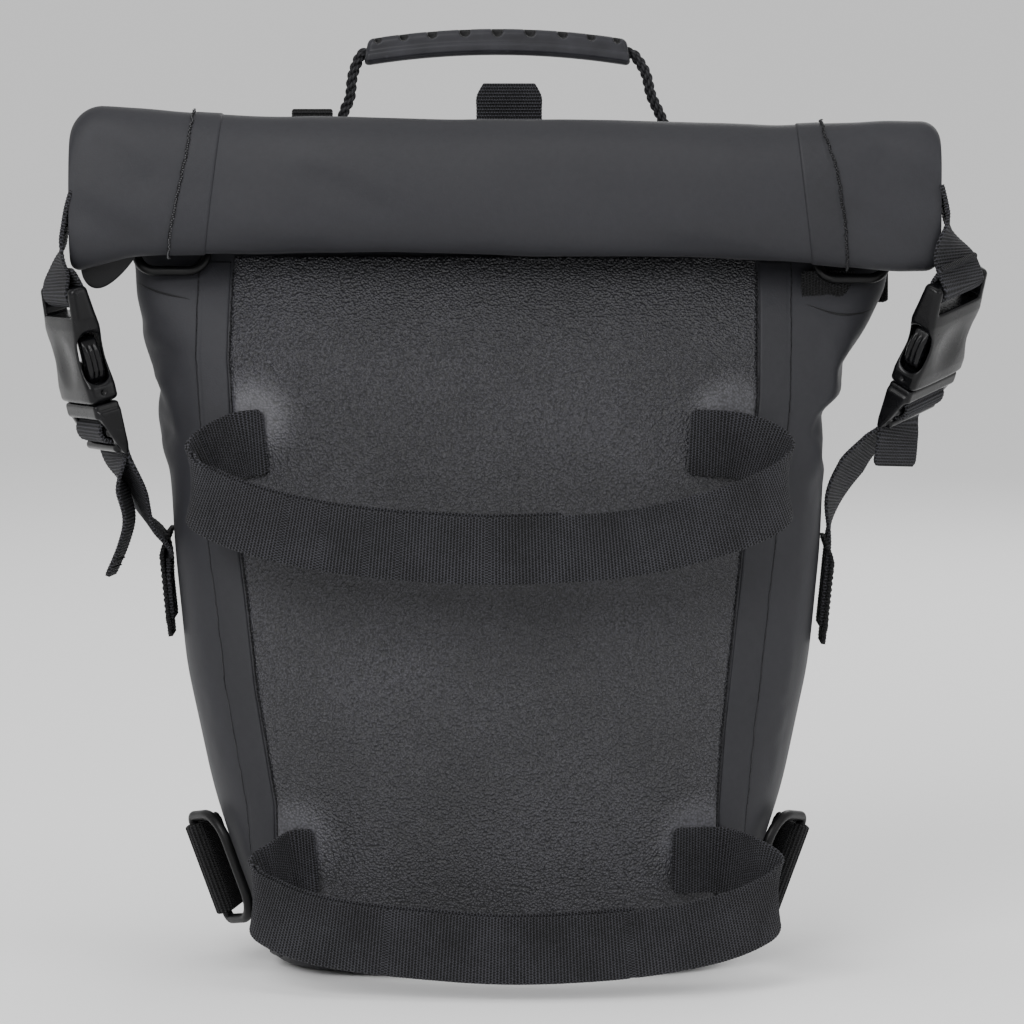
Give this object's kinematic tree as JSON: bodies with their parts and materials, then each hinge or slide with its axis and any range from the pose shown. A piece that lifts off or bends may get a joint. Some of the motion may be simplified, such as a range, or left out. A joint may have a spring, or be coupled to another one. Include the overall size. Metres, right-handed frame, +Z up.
{
  "type": "tail bag",
  "caption": "Roll-top waterproof motorcycle tail bag with a grippy mounting panel, webbing loops, D-rings, carry handle and side-release buckles.",
  "frame": {"origin": "centre of the flat base that the bag stands on", "axes": "+Z up through the mouth, -Y out of the grip panel with its webbing loops, +X to the right when facing the panel"},
  "size_m": [0.3595, 0.1723, 0.357],
  "materials": {
    "fabric": "matt laminate",
    "panel": "pebble grain",
    "tape": "welded tape",
    "webbing": "ribbed nylon",
    "rope": "braided cord",
    "plastic": "satin moulded",
    "grip": "satin moulded",
    "board": "plain sheet",
    "foam": "closed-cell foam"
  },
  "bodies": {
    "bag": {"bag_shell": "fabric", "neck_collar": "fabric", "base_panel": "fabric", "base_board": "board", "back_board": "board", "foam_pad": "foam", "grip_panel": "panel", "body_seam_tape_left": "tape", "body_seam_tape_right": "tape", "upper_loop_roots": "webbing", "lower_loop_roots": "webbing", "side_patch_left": "webbing", "side_patch_right": "webbing", "side_strap_left": "webbing", "side_strap_right": "webbing", "ring_tab_upper_left": "webbing", "ring_tab_upper_right": "webbing", "ring_tab_lower_left": "webbing", "ring_tab_lower_right": "webbing", "handle_anchor_left": "webbing", "handle_anchor_right": "webbing", "rear_tab": "webbing"},
    "roll_top": {"roll_top": "fabric", "closure_stiffener": "board", "roll_seam_tape_left": "tape", "roll_seam_tape_right": "tape", "socket_webbing_left": "webbing", "socket_webbing_right": "webbing", "buckle_socket_left": "plastic", "buckle_socket_right": "plastic"},
    "plug_left": {"buckle_plug_left": "plastic", "strap_tail_left": "webbing"},
    "plug_right": {"buckle_plug_right": "plastic", "strap_tail_right": "webbing"},
    "prong_left_near": {"prong_left_near": "plastic"},
    "prong_left_far": {"prong_left_far": "plastic"},
    "prong_right_near": {"prong_right_near": "plastic"},
    "prong_right_far": {"prong_right_far": "plastic"},
    "handle": {"handle_grip": "grip", "handle_rope": "rope"},
    "ring_upper_left": {"d_ring_upper_left": "plastic"},
    "ring_upper_right": {"d_ring_upper_right": "plastic"},
    "ring_lower_left": {"d_ring_lower_left": "plastic"},
    "ring_lower_right": {"d_ring_lower_right": "plastic"},
    "upper_loop": {"upper_loop": "webbing", "upper_loop_lining": "webbing"},
    "lower_loop": {"lower_loop": "webbing", "lower_loop_lining": "webbing"}
  },
  "joints": [
    {"name": "roll_top_lift", "type": "slide", "parent": "bag", "child": "roll_top", "axis": [0, 0, 1], "range_m": [0, 0.1], "deforming": ["neck_collar"]},
    {"name": "plug_left_release", "type": "slide", "parent": "bag", "child": "plug_left", "axis": [0.2221, 0.094, -0.9705], "range_m": [0, 0.028], "deforming": ["side_strap_left", "prong_left_near", "prong_left_far"]},
    {"name": "prong_left_near_pinch", "type": "hinge", "parent": "plug_left", "child": "prong_left_near", "pos_m": [-0.14859, -0.05228, 0.21779], "axis": [-0.8785, -0.4125, -0.241], "range_deg": [0, 7.5], "stiffness_Nm_per_rad": 0.05},
    {"name": "prong_left_far_pinch", "type": "hinge", "parent": "plug_left", "child": "prong_left_far", "pos_m": [-0.15823, -0.03162, 0.21758], "axis": [0.8785, 0.4125, 0.241], "range_deg": [0, 7.5], "stiffness_Nm_per_rad": 0.05},
    {"name": "plug_right_release", "type": "slide", "parent": "bag", "child": "plug_right", "axis": [-0.2343, 0.4606, -0.8561], "range_m": [0, 0.028], "deforming": ["side_strap_right", "prong_right_near", "prong_right_far"]},
    {"name": "prong_right_near_pinch", "type": "hinge", "parent": "plug_right", "child": "prong_right_near", "pos_m": [0.15528, -0.03733, 0.22381], "axis": [-0.744, 0.4819, 0.4629], "range_deg": [0, 7.5], "stiffness_Nm_per_rad": 0.05},
    {"name": "prong_right_far_pinch", "type": "hinge", "parent": "plug_right", "child": "prong_right_far", "pos_m": [0.16955, -0.02033, 0.22905], "axis": [0.744, -0.4819, -0.4629], "range_deg": [0, 7.5], "stiffness_Nm_per_rad": 0.05},
    {"name": "handle_fold", "type": "hinge", "parent": "bag", "child": "handle", "pos_m": [0, -0.008, 0.314], "axis": [-1, 0, 0], "range_deg": [0, 120]},
    {"name": "ring_upper_left_swing", "type": "hinge", "parent": "bag", "child": "ring_upper_left", "pos_m": [-0.123, -0.0276, 0.2804], "axis": [-1, 0, 0], "range_deg": [0, 12]},
    {"name": "ring_upper_right_swing", "type": "hinge", "parent": "bag", "child": "ring_upper_right", "pos_m": [0.134, -0.0276, 0.2775], "axis": [-1, 0, 0], "range_deg": [0, 12]},
    {"name": "ring_lower_left_swing", "type": "hinge", "parent": "bag", "child": "ring_lower_left", "pos_m": [-0.11, -0.02, 0.0365], "axis": [0.342, 0, -0.9397], "range_deg": [0, 110]},
    {"name": "ring_lower_right_swing", "type": "hinge", "parent": "bag", "child": "ring_lower_right", "pos_m": [0.11, -0.02, 0.0365], "axis": [0.342, 0, 0.9397], "range_deg": [0, 110]},
    {"name": "upper_loop_swing", "type": "hinge", "parent": "bag", "child": "upper_loop", "pos_m": [0, -0.0592, 0.1965], "axis": [-1, 0, 0], "range_deg": [0, 35], "deforming": ["upper_loop_roots"]},
    {"name": "lower_loop_swing", "type": "hinge", "parent": "bag", "child": "lower_loop", "pos_m": [0, -0.0725, 0.0414], "axis": [-1, 0, 0], "range_deg": [0, 35], "deforming": ["lower_loop_roots"]}
  ]
}
